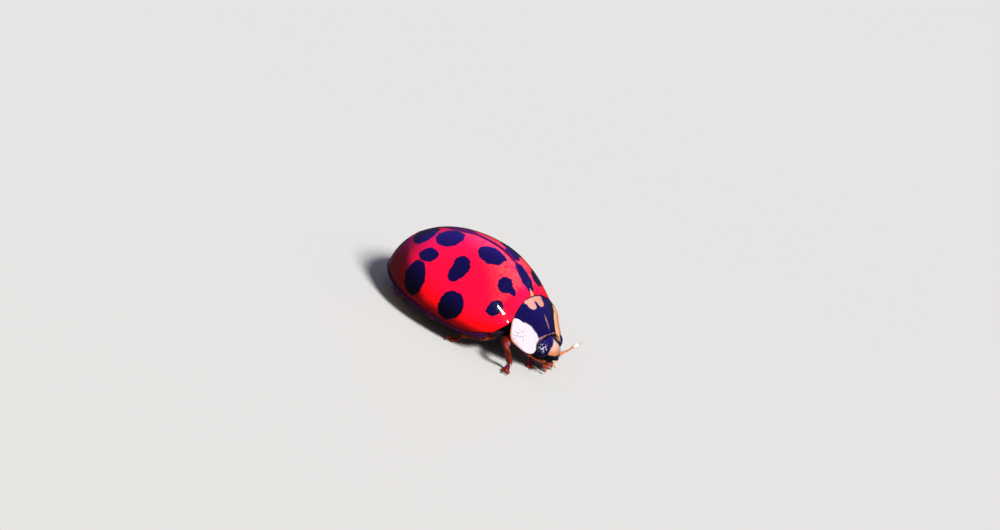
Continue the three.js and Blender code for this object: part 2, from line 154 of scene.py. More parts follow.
VIEW_RIGHT = Vector((0.42406, -0.80927, 0.40651))
VIEW_UP = Vector((0.13431, 0.5001, 0.85549))
VIEW_BACK = Vector((-0.89562, -0.30818, 0.32077))
VIEW_CENTRE = Vector((0.5, 0.22, 2.16)) * MM
VIEW_WIDTH = 32.99 * MM  # of the field at the beetle
LENS, SENSOR = 200, 36
CLIP = (0.01, 10)
KEY = (-0.3, -0.6, 0.74)  # towards the wide lamp
GLINT = (-0.19, -0.55, 0.81)  # towards the lamp that makes the small highlights
AMBIENT = (0.21, 0.21, 0.21)
BACKDROP = (0.8, 0.8, 0.8)
SKY_BELOW, SKY_ABOVE = (0.05, 0.05, 0.07), (0.2, 0.12, 1.7)
SKY_TOP = 0.7  # height of the upper colour, straight up is 1
FLOOR_SPAN = 3.0  # half its width, in metres
FLOOR_GREY = (0.5, 0.5, 0.49)


def put_in_scene(thing):
    bpy.context.scene.collection.objects.link(thing)


def add_camera():
    data = bpy.data.cameras.new("camera")
    data.lens, data.sensor_width = LENS, SENSOR
    data.clip_start, data.clip_end = CLIP
    camera = bpy.data.objects.new("camera", data)
    distance = VIEW_WIDTH * LENS / SENSOR
    turn = Matrix((VIEW_RIGHT, VIEW_UP, VIEW_BACK)).transposed().to_4x4()
    camera.matrix_world = Matrix.Translation(VIEW_CENTRE + VIEW_BACK * distance) @ turn
    put_in_scene(camera)
    bpy.context.scene.camera = camera


def add_sun(name, towards, energy, breadth, colour):
    """A distant lamp in the given direction from the beetle. breadth is its apparent size in degrees."""
    data = bpy.data.lights.new(name, "SUN")
    data.energy, data.angle, data.color = energy, math.radians(breadth), colour
    lamp = bpy.data.objects.new(name, data)
    lamp.rotation_mode = "QUATERNION"
    lamp.rotation_quaternion = Vector(towards).to_track_quat("Z", "Y")
    put_in_scene(lamp)
    return lamp


def add_world():
    """Plain even light all round. What gloss mirrors is a soft sky, dark below and blue overhead."""
    world = bpy.data.worlds.new("world")
    bpy.context.scene.world = world
    world.use_nodes = True
    paint = Paint(world.node_tree)
    height = paint.split(paint.node("ShaderNodeTexCoord").outputs["Generated"])[2]
    sky = paint.mix(paint.smooth(height, 0.0, SKY_TOP), SKY_BELOW, SKY_ABOVE)
    path = paint.node("ShaderNodeLightPath")
    seen = paint.mix(path.outputs["Is Glossy Ray"], AMBIENT, sky)
    seen = paint.mix(path.outputs["Is Camera Ray"], seen, BACKDROP)
    background = paint.node("ShaderNodeBackground", Color=seen, Strength=1.0)
    output = paint.node("ShaderNodeOutputWorld")
    paint.link(background.outputs[0], output.inputs["Surface"])


def add_floor():
    mesh = bpy.data.meshes.new("floor")
    corners = [(x * FLOOR_SPAN, y * FLOOR_SPAN, 0) for x, y in ((-1, -1), (1, -1), (1, 1), (-1, 1))]
    mesh.from_pydata(corners, [], [(0, 1, 2, 3)])
    floor = bpy.data.objects.new("floor", mesh)
    paint = Paint.material("floor", roughness=0.6)
    paint.colour(FLOOR_GREY)
    mesh.materials.append(paint.owner)
    put_in_scene(floor)
    floor.visible_glossy = False


def add_studio():
    bpy.context.scene.view_settings.view_transform = "Standard"
    add_camera()
    add_world()
    key = add_sun("key", KEY, 5.4, 20, (1.0, 0.98, 0.94))
    key.visible_glossy = False
    add_sun("glint", GLINT, 0.6, 5, (1.0, 1.0, 1.0))
    add_floor()


# ---- node materials

SHELL_IOR, COAT_IOR = 1.5, 1.42
SPECULAR_LEVEL = 0.06  # the coat gives most of the gloss


class Paint:
    """A small helper that builds one node tree from expressions."""

    def __init__(self, tree):
        self.tree = tree
        tree.nodes.clear()

    @classmethod
    def material(cls, name, roughness, coat=0.0, coat_roughness=0.05):
        owner = bpy.data.materials.new(name)
        owner.use_nodes = True
        paint = cls(owner.node_tree)
        paint.owner = owner
        paint.shader = paint.node(
            "ShaderNodeBsdfPrincipled", Roughness=roughness, IOR=SHELL_IOR, Coat_IOR=COAT_IOR,
            Coat_Weight=coat, Coat_Roughness=coat_roughness, Specular_IOR_Level=SPECULAR_LEVEL,
        )
        output = paint.node("ShaderNodeOutputMaterial")
        paint.link(paint.shader.outputs[0], output.inputs["Surface"])
        return paint

    def link(self, source, target):
        self.tree.links.new(source, target)

    def put(self, target, value):
        if isinstance(value, bpy.types.NodeSocket):
            self.link(value, target)
        elif hasattr(target.default_value, "__len__") and len(target.default_value) == 4:
            target.default_value = (*value, 1.0)
        else:
            target.default_value = value

    def set_input(self, name, value):
        self.put(self.shader.inputs[name], value)

    def colour(self, value):
        self.set_input("Base Color", value)

    def node(self, kind, **inputs):
        made = self.tree.nodes.new(kind)
        for name, value in inputs.items():
            self.put(made.inputs[name.replace("_", " ")], value)
        return made

    def math(self, operation, a, b=0.0, c=0.0):
        made = self.node("ShaderNodeMath")
        made.operation = operation
        for target, value in zip(made.inputs, (a, b, c)):
            self.put(target, value)
        return made.outputs[0]

    def times(self, a, b):
        return self.math("MULTIPLY", a, b)

    def vector(self, operation, a, b=(0, 0, 0)):
        made = self.node("ShaderNodeVectorMath")
        made.operation = operation
        self.put(made.inputs[0], a)
        self.put(made.inputs[1], b)
        return made

    def dot(self, a, b):
        return self.vector("DOT_PRODUCT", a, b).outputs["Value"]

    def scaled(self, a, factor):
        made = self.vector("SCALE", a)
        self.put(made.inputs["Scale"], factor)
        return made.outputs[0]

    def smooth(self, value, low, high):
        """0 up to low and 1 from high on, or the other way round where low is the larger."""
        made = self.node("ShaderNodeMapRange", Value=value)
        made.interpolation_type = "SMOOTHSTEP"
        ends = (low, high, 0.0, 1.0) if low < high else (high, low, 1.0, 0.0)
        for name, end in zip(("From Min", "From Max", "To Min", "To Max"), ends):
            made.inputs[name].default_value = end
        return made.outputs[0]

    def mix(self, factor, a, b):
        made = self.node("ShaderNodeMix")
        made.data_type = "RGBA"
        for index, value in ((0, factor), (6, a), (7, b)):
            self.put(made.inputs[index], value)
        return made.outputs[2]

    def noise(self, where, scale, detail=2.0):
        return self.node("ShaderNodeTexNoise", Vector=where, Scale=scale, Detail=detail).outputs["Fac"]

    def cells(self, where, scale):
        """Distance from the middle of the nearest of many scattered cells."""
        return self.node("ShaderNodeTexVoronoi", Vector=where, Scale=scale).outputs["Distance"]

    def place(self):
        """The point being painted, in millimetres."""
        return self.scaled(self.node("ShaderNodeTexCoord").outputs["Object"], 1 / MM)

    def split(self, where):
        return tuple(self.node("ShaderNodeSeparateXYZ", Vector=where).outputs)

    def combined(self, x, y, z):
        return self.node("ShaderNodeCombineXYZ", X=x, Y=y, Z=z).outputs[0]

    def mirrored(self, where):
        x, y, z = self.split(where)
        return self.combined(self.math("ABSOLUTE", x), y, z)

    def wobbled(self, where, scale, size):
        """where, moved about by noise, so that what is drawn there has an uneven edge."""
        noise = self.node("ShaderNodeTexNoise", Vector=where, Scale=scale).outputs["Color"]
        shift = self.vector("SUBTRACT", noise, (0.5, 0.5, 0.5)).outputs[0]
        return self.vector("ADD", where, self.scaled(shift, size)).outputs[0]

    def mark(self, where, centre, radii, turn=None):
        """Distance from a mark's centre, 1 at its edge. turn is a matrix whose columns are its axes."""
        made = self.node("ShaderNodeMapping")
        made.vector_type = "TEXTURE"
        self.put(made.inputs["Vector"], where)
        made.inputs["Location"].default_value = centre
        made.inputs["Rotation"].default_value = turn.to_euler() if turn else (0, 0, 0)
        made.inputs["Scale"].default_value = radii
        return self.vector("LENGTH", made.outputs[0]).outputs["Value"]

    def union(self, distances):
        nearest = distances[0]
        for other in distances[1:]:
            nearest = self.math("MINIMUM", nearest, other)
        return nearest

    def attribute(self, name):
        made = self.node("ShaderNodeAttribute")
        made.attribute_name = name
        return made.outputs["Fac"]

    def bump(self, height, depth):
        """Relief from a height of 0 to 1, depth millimetres deep."""
        made = self.node("ShaderNodeBump", Height=height, Strength=1.0, Distance=depth * MM)
        self.set_input("Normal", made.outputs[0])
        self.set_input("Coat Normal", made.outputs[0])

    def pits(self, where, scale, size, depth, grain=0.25, deeper=None):
        """Fine punctures and slight unevenness. deeper, if given, is a factor of the punctures' depth."""
        pit = self.smooth(self.cells(self.wobbled(where, scale / 3, 0.3 / scale), scale), 0.0, size)
        if deeper is not None:
            pit = self.times(pit, deeper)
        swell = self.times(self.noise(where, scale / 4), grain)
        self.bump(self.math("ADD", pit, swell), depth)


def shell_paint(name, colours, roughness=0.3, pits=(14.0, 0.004), clouds=(3.0, 4.0), coat_roughness=0.05):
    """Glossy chitin in two mottled colours. pits gives the scale and depth of its punctures."""
    paint = Paint.material(name, roughness, 1.0, coat_roughness)
    where = paint.place()
    cloud = paint.smooth(paint.noise(where, *clouds), 0.35, 0.65)
    paint.colour(paint.mix(cloud, *colours))
    paint.pits(where, pits[0], 0.3, pits[1])
    return paint.owner


# ---- making meshes

CURVE_POINTS = 200  # of a smooth line, before it is spread evenly
HAIR_RADIUS = 0.004


def smooth01(t):
    """0 up to t = 0 and 1 from t = 1 on, with a soft rise between."""
    t = np.clip(t, 0, 1)
    return t * t * (3 - 2 * t)


def unit(v):
    return v / np.maximum(np.linalg.norm(v, axis=-1, keepdims=True), 1e-9)


def spline(points, count, closed=False):
    """count points along a Catmull-Rom curve through the given ones."""
    p = np.asarray(points, float)
    if closed:
        p = np.vstack([p[-1:], p, p[:2]])
    else:
        p = np.vstack([2 * p[:1] - p[1:2], p, 2 * p[-1:] - p[-2:-1]])
    spans = len(p) - 3
    t = np.linspace(0, spans, count, endpoint=not closed)
    i = np.minimum(t.astype(int), spans - 1)
    t = (t - i)[:, None]
    a, b, c, d = p[i], p[i + 1], p[i + 2], p[i + 3]
    return 0.5 * (2 * b + (c - a) * t + (2 * a - 5 * b + 4 * c - d) * t**2 + (3 * b - a - 3 * c + d) * t**3)


def travelled(points):
    """Distance along a line, at each of its points."""
    return np.concatenate([[0], np.cumsum(np.linalg.norm(np.diff(points, axis=0), axis=1))])


def evenly(points, count):
    """The same open line with its points evenly spread."""
    along = travelled(points)
    t = np.linspace(0, along[-1], count)
    return np.stack([np.interp(t, along, points[:, k]) for k in range(points.shape[1])], -1)


def loft(rings):
    """A closed surface through rings, an array of ring by point by XYZ, with a fan at each end."""
    rings = np.asarray(rings, float)
    count, sides = rings.shape[:2]
    vertices = np.vstack([rings.reshape(-1, 3), rings[0].mean(0), rings[-1].mean(0)])
    near = np.arange(sides)
    far = (near + 1) % sides
    faces = []
    for start in range(0, (count - 1) * sides, sides):
        quads = np.stack([near + start, far + start, far + start + sides, near + start + sides], -1)
        faces.extend(quads.tolist())
    first, last, end = len(vertices) - 2, len(vertices) - 1, (count - 1) * sides
    faces.extend([first, int(b), int(a)] for a, b in zip(near, far))
    faces.extend([last, end + int(a), end + int(b)] for a, b in zip(near, far))
    return vertices, faces


def join(shapes):
    vertices, faces, base = [], [], 0
    for points, polygons in shapes:
        vertices.append(points)
        faces.extend([[i + base for i in polygon] for polygon in polygons])
        base += len(points)
    return np.vstack(vertices), faces


def mirror(shape, side):
    vertices, faces = shape
    return vertices * np.array([side, 1, 1]), faces


def limb(points, widths, depths=None, steps=36, sides=18, ends=(0.5, 0.5)):
    """A bar with rounded ends along a smooth line. widths and depths are half-sizes at even stations."""
    path = evenly(spline(points, CURVE_POINTS), steps)
    t = np.linspace(0, 1, steps)
    width = np.interp(t, np.linspace(0, 1, len(widths)), widths)
    depth = width if depths is None else np.interp(t, np.linspace(0, 1, len(depths)), depths)
    length = travelled(path)[-1]
    cap = np.ones(steps)
    for end, distance in zip(ends, (t * length, (1 - t) * length)):
        share = np.clip(distance / max(end * width.max() * 2, 1e-6), 0, 1)
        cap = cap * np.sqrt(np.maximum(1 - (1 - share) ** 2, 0.004))
    tangent = unit(np.gradient(path, axis=0))
    across = unit(np.cross(tangent, [0, 0, 1]))
    above = np.cross(across, tangent)
    angle = np.linspace(0, 2 * math.pi, sides, endpoint=False)
    offsets = (
        across[:, None] * (np.cos(angle)[None, :, None] * (width * cap)[:, None, None])
        + above[:, None] * (np.sin(angle)[None, :, None] * (depth * cap)[:, None, None])
    )
    return loft(path[:, None] + offsets)


def ball(centre, radii, shape=None, around=48, down=28):
    """An ellipsoid, its poles on the Y axis. shape, if given, moves its points."""
    tilt = np.linspace(0.02, math.pi - 0.02, down)[:, None]
    turn = np.linspace(0, 2 * math.pi, around, endpoint=False)[None]
    way = np.stack(
        [np.sin(tilt) * np.cos(turn), -np.cos(tilt) + 0 * turn, np.sin(tilt) * np.sin(turn)], -1
    )
    rings = centre + way * radii
    return loft(shape(rings, way) if shape else rings)


def hairs(bristles):
    """Straight three-sided spikes, each given as its root, direction and length."""
    turns = [math.radians(a) for a in (90, 210, 330)]
    shapes = []
    for root, way, length in bristles:
        way = unit(way)
        side = unit(np.cross(way, [0.3, 0.2, 0.9]))
        over = np.cross(side, way)
        rings = []
        for share, taper in ((0.0, 1.0), (0.5, 0.7), (1.0, 0.12)):
            point = root + way * length * share
            radius = HAIR_RADIUS * taper
            rings.append([point + radius * (side * math.cos(a) + over * math.sin(a)) for a in turns])
        shapes.append(loft(rings))
    return join(shapes)


def add_piece(name, shape, material, nodes=(), values=None):
    """Makes an object of a shape in millimetres, on the body root, standing for the named CAD nodes."""
    vertices, faces = shape
    mesh = bpy.data.meshes.new(name)
    mesh.from_pydata((vertices * MM).tolist(), [], faces)
    if values is not None:
        mesh.attributes.new("edge", "FLOAT", "POINT").data.foreach_set("value", values.astype(np.float32))
    tidy = bmesh.new()
    tidy.from_mesh(mesh)
    bmesh.ops.recalc_face_normals(tidy, faces=tidy.faces)
    tidy.to_mesh(mesh)
    tidy.free()
    mesh.polygons.foreach_set("use_smooth", [True] * len(mesh.polygons))
    mesh.materials.append(material)
    piece = bpy.data.objects.new(name, mesh)
    put_in_scene(piece)
    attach(piece, "root")
    if nodes:
        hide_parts(*nodes)


# ---- the dome of the wing cases

# points from edge to seam, and rows ahead of the widest place and behind it
ACROSS_POINTS, FRONT_ROWS, REAR_ROWS = 72, 64, 96


def quarter(t, exponent):
    """A quarter of an oval: 1 where t is 0, and 0 where t is 1."""
    return (1 - np.clip(t, 0, 1) ** exponent) ** (1 / exponent)


def rim_level(y):
    ahead = np.maximum(0, -y / RISE_START)
    behind = np.clip((y - 1) / (REAR - 1), 0, 1)
    return RIM + RISE_FRONT * ahead**2 + RISE_REAR * behind**2


def at_shoulder(y):
    """1 at the shoulder, fading to 0 ahead and behind."""
    return np.exp(-(((y - SHOULDER_Y) / SHOULDER_FADE) ** 2))


def flange(y):
    """Width of the flat edge."""
    towards_tip = smooth01((y - WIDEST) / (REAR - WIDEST) * 1.1)
    return FLANGE + (TIP_FLANGE - FLANGE) * towards_tip + (SHOULDER_FLANGE - FLANGE) * at_shoulder(y)


def half_width(y, inset=0.0):
    tip = REAR - TIP_FLANGE * np.sign(inset)
    back = (HALF_WIDTH - inset) * quarter((y - WIDEST) / (tip - WIDEST), REAR_CURVE)
    ahead = np.clip((WIDEST - y) / (WIDEST - FRONT), 0, 1) ** FRONT_CURVE
    front = SHOULDER + (HALF_WIDTH - SHOULDER) * (1 - ahead) - inset
    return np.where(y >= WIDEST, back, front)


def crest(y):
    """Height of the dome along its middle."""
    arch = quarter((y - SUMMIT) / (REAR - TIP_FLANGE - SUMMIT), BACK_CURVE)
    back = RIM + RISE_REAR + (DOME - RISE_REAR) * arch
    ahead = np.clip((SUMMIT - y) / (SUMMIT - FRONT), 0, 1)
    front = RIM + FRONT_HEIGHT + (DOME - FRONT_HEIGHT) * (1 - ahead**2)
    return np.where(y >= SUMMIT, back, front)


def reach_ahead(x, y):
    """How far a point is swept forward, so that the front edge is hollow in its middle."""
    return REACH * (np.clip((1 - y) / (1 - FRONT), 0, 1) ** 2 * (x / SHOULDER) ** 2)


def dome(x, y):
    """Points of the dome over the plan positions x and y."""
    edge = rim_level(y) + SHELF * at_shoulder(y)
    across = np.clip(np.abs(x) / np.maximum(half_width(y, flange(y)), 1e-6), 0, 1)
    z = edge + np.maximum(crest(y) - edge, 0) * quarter(across, SECTION_CURVE)
    return np.stack([x, y - reach_ahead(x, y), z], -1)


def seam_x(y):
    """X of the left wing case's inner edge."""
    notch = NOTCH_HALF_WIDTH * (1 - (y - FRONT) / NOTCH_LENGTH)
    return SEAM + np.maximum(notch, 0)


def case_surface():
    """The left wing case's outside, from its edge to the seam, and from its front to its tip."""
    inward = np.linspace(0.014, 1, ACROSS_POINTS)[None]
    start = FRONT + CASE_START + CORNER * np.maximum(0, 1 - inward / CORNER_LIFT) ** 2
    y = start + (WIDEST - start) * np.linspace(0, 1, FRONT_ROWS)[:, None]
    width = half_width(y, flange(y))
    steepest = np.arccos((seam_x(y) / width) ** (SECTION_CURVE / 2))
    x = width * np.cos(steepest * inward) ** (2 / SECTION_CURVE)
    angle = np.linspace(0, math.pi / 2 - 0.012, REAR_ROWS)[1:, None]
    length = REAR - TIP_FLANGE - WIDEST
    edge_y = WIDEST + length * np.sin(angle) ** (2 / REAR_CURVE)
    edge_x = half_width(edge_y, flange(edge_y))
    middle_y = WIDEST + length * angle / (math.pi / 2)
    out = np.cos(np.pi / 2 * inward) ** (2 / SECTION_CURVE)
    x = np.vstack([x, SEAM + (edge_x - SEAM) * out])
    y = np.vstack([y, middle_y + (edge_y - middle_y) * out])
    edge = np.vstack([np.hstack([width[:, :1], y[:FRONT_ROWS, :1]]), np.hstack([edge_x, edge_y])])
    return x, y, edge


# relief of the dome: (X, Y, radius across, radius along, height)
CASE_SWELLS = [
    (1.78, -0.85, 0.42, 0.5, 0.03),  # the shoulder's callus
    (1.0, 3.0, 0.75, 0.07, 0.035),  # the fold ahead of the tip
    (1.5, 2.72, 0.5, 0.12, -0.02),  # the hollow ahead of that fold
    (2.1, 1.2, 0.6, 0.8, 0.012),  # the flank
]

# The inflexed strip below the dome, the flat edge and its bead: outwards from the dome's foot, and upwards.
# Outwards is in widths of the flat edge, and where it is negative in tenths of the room inside.
EDGE_PROFILE = [
    (-3.8, 0.1), (-4.3, 0.06), (-4.3, 0.03), (-3.8, 0.01), (-2.8, -0.01), (-1.6, -0.03),
    (-0.5, -0.042), (0.3, -0.046), (0.7, -0.046), (0.95, -0.034), (1.1, -0.012), (1.09, 0.01),
    (0.96, 0.022), (0.8, 0.018), (0.6, 0.004), (0.35, 0.001), (0.13, 0.012), (0.02, 0.03),
]


def case_shape():
    """The left wing case, and how near each of its points is to the edge, from 0 to 1."""
    x, y, edge = case_surface()
    outside = dome(x, y)
    normal = unit(np.cross(np.gradient(outside, axis=1), np.gradient(outside, axis=0)))
    normal *= np.sign(normal[..., 2:] + 1e-6 + (normal[..., :1] * 2))
    swell = sum(
        height * np.exp(-(((x - at_x) / wide) ** 2) - ((y - at_y) / long) ** 2)
        for at_x, at_y, wide, long, height in CASE_SWELLS
    )
    groove = (0.006 + 0.024 * smooth01((y + 0.5) / 0.4)) * np.exp(-((x / 0.09) ** 2))
    outside = outside + normal * (swell - groove)[..., None]
    inside = (outside - normal * CASE_THICKNESS)[:, ::-1][:, ::2][:, :-6]  # from the seam back, and coarser
    inside[..., 0] = np.maximum(inside[..., 0], seam_x(inside[..., 1]))
    foot = dome(edge[:, 0] * 0.999999, edge[:, 1])
    slope = SHELF * at_shoulder(edge[:, 1])
    foot[:, 2] = rim_level(edge[:, 1]) + slope
    along = unit(np.gradient(foot, axis=0) * [1, 1, 0])
    out = np.stack([along[:, 1], -along[:, 0], 0 * along[:, 0]], -1)
    room = np.clip(np.linalg.norm(outside[:, 0] - outside[:, -1], axis=1) / 1.3, 0.02, 1)
    room *= 1 - 0.5 * smooth01((edge[:, 1] - 0.5) / 3)
    width = flange(edge[:, 1]) * smooth01(np.linspace(0, 12, len(foot)) + 0.1)
    strip = []
    for outward, upward in EDGE_PROFILE:
        reach = outward * (room / 10 if outward < 0 else width)
        rise = upward * np.clip(room * 1.5, 0.3, 1) - slope * np.clip(outward, 0, 1)
        strip.append(foot + out * reach[:, None] + rise[:, None] * np.array([0, 0, 1]))
    strip = np.stack(strip, 1)
    strip[..., 0] = np.maximum(strip[..., 0], SEAM)
    rings = np.concatenate([outside, inside, strip], 1)
    fading = np.exp(-np.arange(outside.shape[1]) / 2.5)
    edge_value = np.concatenate([fading, np.zeros(inside.shape[1]), np.ones(strip.shape[1])])
    values = np.append(np.tile(edge_value, len(rings)), [0, 0])
    return loft(rings), values


def spot_frame(over, y):
    """Centre and axes of a spot that lies a given distance from the seam over the dome."""
    xs = np.linspace(0, float(half_width(np.array(y), FLANGE)) * 0.995, 600)
    x = float(np.interp(over, travelled(dome(xs, np.full_like(xs, y))), xs))
    step = 0.01
    at = dome(np.array([x, x + step, x]), np.array([y, y, y + step]))
    across = unit(at[1] - at[0])
    along = at[2] - at[0]
    along = unit(along - across * (along @ across))
    return Vector(at[0]), Matrix((across, along, np.cross(across, along))).transposed()


def spot_marks(paint, where, rows):
    distances = []
    for over, along, half_across, half_along, turn in rows:
        centre, axes = spot_frame(over, along)
        spin = axes @ turned(turn)
        distances.append(paint.mark(where, centre, (half_across, half_along, SPOT_DEPTH), spin))
    return paint.union(distances)


CASE_REDS = [(0.84, 0.0006, 0.0008), (0.84, 0.001, 0.0012)]
CASE_ORANGE = (0.86, 0.05, 0.022)
# the rear and low colours are painted shade, the flecks are the shell's own dark specks
CASE_REAR_SHADE, CASE_LOW_SHADE, CASE_FLECK = (0.3, 0.0, 0.001), (0.12, 0.0, 0.001), (0.2, 0.0, 0.002)
# the edge colour is painted shade under the rim
CASE_BLACK, CASE_SEAM, CASE_EDGE_SHADE = (0.001, 0.0005, 0.004), (0.1, 0.0, 0.006), (0.02, 0.001, 0.001)


def case_paint():
    """Red with black spots, more orange towards the scutellum, with painted shade low down, at the rear and
    on the edge strip.
    """
    paint = Paint.material("wing_case", 0.32, 1.0, 0.04)
    where = paint.place()
    x, y, z = paint.split(where)
    beside = paint.math("ABSOLUTE", x)
    both = paint.wobbled(paint.wobbled(paint.mirrored(where), 3.5, 0.16), 14.0, 0.05)
    left = paint.wobbled(where, 5.0, 0.12)
    marks = paint.union([spot_marks(paint, both, SPOTS), spot_marks(paint, left, LEFT_SPOTS)])
    red = paint.mix(paint.noise(where, 1.6, 3.0), *CASE_REDS)
    ahead = paint.smooth(paint.math("ADD", beside, paint.times(y, 0.55)), 1.65, 0.35)
    ahead = paint.times(ahead, paint.smooth(y, -1.25, -1.0))
    mottle = paint.smooth(paint.noise(where, 7.0), 0.25, 0.6)
    red = paint.mix(paint.times(ahead, mottle), red, CASE_ORANGE)
    # painted shade: the red darkens towards the rear, which turns away from the light
    red = paint.mix(paint.smooth(y, 1.9, 3.1), red, CASE_REAR_SHADE)
    # painted shade: the red darkens low down near the edge, reaching higher towards the rear
    climb = paint.times(paint.math("MAXIMUM", paint.math("SUBTRACT", y, 1.0), 0.0), 0.47)
    low_shade = paint.smooth(paint.math("SUBTRACT", z, climb), 1.05, 0.72)
    red = paint.mix(low_shade, red, CASE_LOW_SHADE)
    red = paint.mix(paint.smooth(paint.cells(where, 1.8), 0.06, 0.035), red, CASE_FLECK)
    body = paint.mix(paint.smooth(marks, 1.06, 0.95), red, CASE_BLACK)
    suture = paint.times(paint.smooth(beside, 0.15, 0.09), paint.smooth(y, -0.6, -0.3))
    body = paint.mix(suture, body, CASE_SEAM)
    # painted shade: the edge strip and the inflexed strip under the rim are near-black
    edge = paint.smooth(paint.attribute("edge"), 0.5, 1.0)
    paint.colour(paint.mix(edge, body, CASE_EDGE_SHADE))
    shoulder = paint.mark(paint.mirrored(where), (1.95, -1.6, 1.0), (0.5, 0.45, 0.7))
    deeper = paint.math("MULTIPLY_ADD", paint.smooth(shoulder, 1.1, 0.5), 4.0, 1.0)
    paint.pits(where, 11.0, 0.24, 0.006, 0.5, deeper)
    return paint.owner


def add_wing_cases():
    material = case_paint()
    shape, values = case_shape()
    for side, sign in SIDES.items():
        nodes = [f"elytron_{side}"]
        add_piece(f"wing_case_{side}", mirror(shape, sign), material, nodes, values)


# rings of the scutellum: share of its outline, and height
SCUTELLUM_RINGS = [(0.05, 0.0), (0.5, -0.004), (0.85, -0.012), (0.97, -0.028), (1.0, -0.05), (1.0, -0.2)]
SCUTELLUM_MIDDLE = np.array([0, 0.13])
SCUTELLUM_SUNK = 0.012  # below the dome


def add_scutellum():
    material = shell_paint("scutellum", [(0.75, 0.24, 0.07), (0.7, 0.36, 0.18)])
    half, length = NOTCH_HALF_WIDTH - 0.02, NOTCH_LENGTH - 0.03
    corners = [(-half, 0), (-half * 0.45, length * 0.5), (0, length), (half * 0.45, length * 0.5), (half, 0)]
    outline = spline([*corners, (0, -0.03)], 60, closed=True)
    rings = []
    for share, lift in SCUTELLUM_RINGS:
        x, y = (outline * share + SCUTELLUM_MIDDLE * (1 - share)).T
        y = y + FRONT + CASE_START
        level = dome(0 * y, y)[:, 2] - SCUTELLUM_SUNK
        rings.append(np.stack([x, y, level + lift], -1))
    add_piece("scutellum_plate", loft(rings), material, ["scutellum"])


# ---- neck shield and prothorax

OUTLINE_POINTS = 220
# sideways and down the slope, from the middle of the rear edge to that of the front edge
SHIELD_HALF_OUTLINE = [
    (0.0, 0.0), (0.62, 0.06), (1.08, 0.24), (1.39, 0.45), (1.6, 0.7), (1.68, 0.9), (1.66, 1.1),
    (1.54, 1.32), (1.37, 1.54), (1.2, 1.69), (1.0, 1.76), (0.85, 1.68), (0.7, 1.52), (0.41, 1.42), (0.0, 1.4),
]
# the rounded bead along the shield's edge, and its underside: share of the outline, and height
SHIELD_BEAD = [
    (0.963, -0.004), (0.972, -0.005), (0.98, 0.004), (0.988, 0.012), (0.997, 0.01), (1.003, -0.002),
    (1.003, -0.018), (0.995, -0.032), (0.98, -0.045),
]
SHIELD_UNDER = [(0.93, -0.085), (0.85, -0.1), (0.6, -0.1), (0.3, -0.1), (0.02, -0.1)]
BEAD_START = 0.975  # the bead's own colour starts here
# the prothorax inside the shield, then below it: share of the outline, drop, and greatest height
ANY = 9.0
INSIDE_SHARES = (0.1, 0.5, 0.8, 0.93, 0.97)
UNDERSIDE = [
    (0.97, 0.06, ANY), (0.9, 0.1, ANY), (0.78, 0.2, 1.2), (0.66, 0.3, 0.95),
    (0.55, 0.4, 0.7), (0.45, 0.5, 0.56), (0.3, 0.6, 0.48), (0.08, 0.7, 0.46),
]
INSIDE_SIZE, UNDERSIDE_SIZE = 0.92, 0.9  # against the shield's own size
PATTERN_ASIDE = 0.07  # how far to its right the shield's pattern lies
SLOPE_DOWN = np.array([0, -math.cos(PITCH), -math.sin(PITCH)])
SLOPE_OUT = np.array([0, -math.sin(PITCH), math.cos(PITCH)])


def shield_point(x, v, lift=0.0):
    """A point of the neck shield: x sideways, v down its slope, lift out of its surface."""
    swell = np.maximum(-SHIELD_SWELL, SHIELD_SWELL * (1 - (v / SHIELD_MIDDLE - 1) ** 2))
    forward = smooth01((v - SHIELD_MIDDLE + 0.1) / 0.6)
    out = swell - (SAG_BACK + (SAG_FRONT - SAG_BACK) * forward) * x**2 + ROLL * x + lift
    flat = np.stack([x, 0 * x, 0 * x], -1) + v[..., None] * SLOPE_DOWN
    return SHIELD_TOP + flat + out[..., None] * SLOPE_OUT


def shield_outline():
    left = SHIELD_HALF_OUTLINE
    right = [(-x, v) for x, v in left[-2:0:-1]]
    return spline(left + right, OUTLINE_POINTS, closed=True)


def shield_ring(share, lift=0.0):
    """The outline shrunk towards its centre, on the surface or lifted off it."""
    x, v = (SHIELD_CENTRE + (shield_outline() - SHIELD_CENTRE) * share).T
    return shield_point(x, v, lift)


def add_neck_shield():
    rows = [(share, 0.0) for share in np.linspace(0.02, 0.95, 44)] + SHIELD_BEAD + SHIELD_UNDER
    rings = [shield_ring(share, lift) for share, lift in rows]
    beaded = [float(share > BEAD_START) for share, lift in rows]
    values = np.append(np.repeat(beaded, OUTLINE_POINTS), [0, 0])
    add_piece("neck_shield", loft(rings), shield_paint(), ["pronotum"], values)


# the left side's orange and the right lobe's pink are painted light
SHIELD_BLACK, SHIELD_LEFT_LIGHT, SHIELD_SPECK = (0.001, 0.0006, 0.003), (0.8, 0.4, 0.2), (0.12, 0.05, 0.05)
SHIELD_RIGHT_LIGHT, SHIELD_LINE = (0.5, 0.25, 0.15), (0.3, 0.13, 0.06)
SHIELD_BROW, SHIELD_EDGE = (0.3, 0.14, 0.12), (0.5, 0.2, 0.14)


def turned(degrees):
    return Matrix.Rotation(math.radians(degrees), 3, "Z")


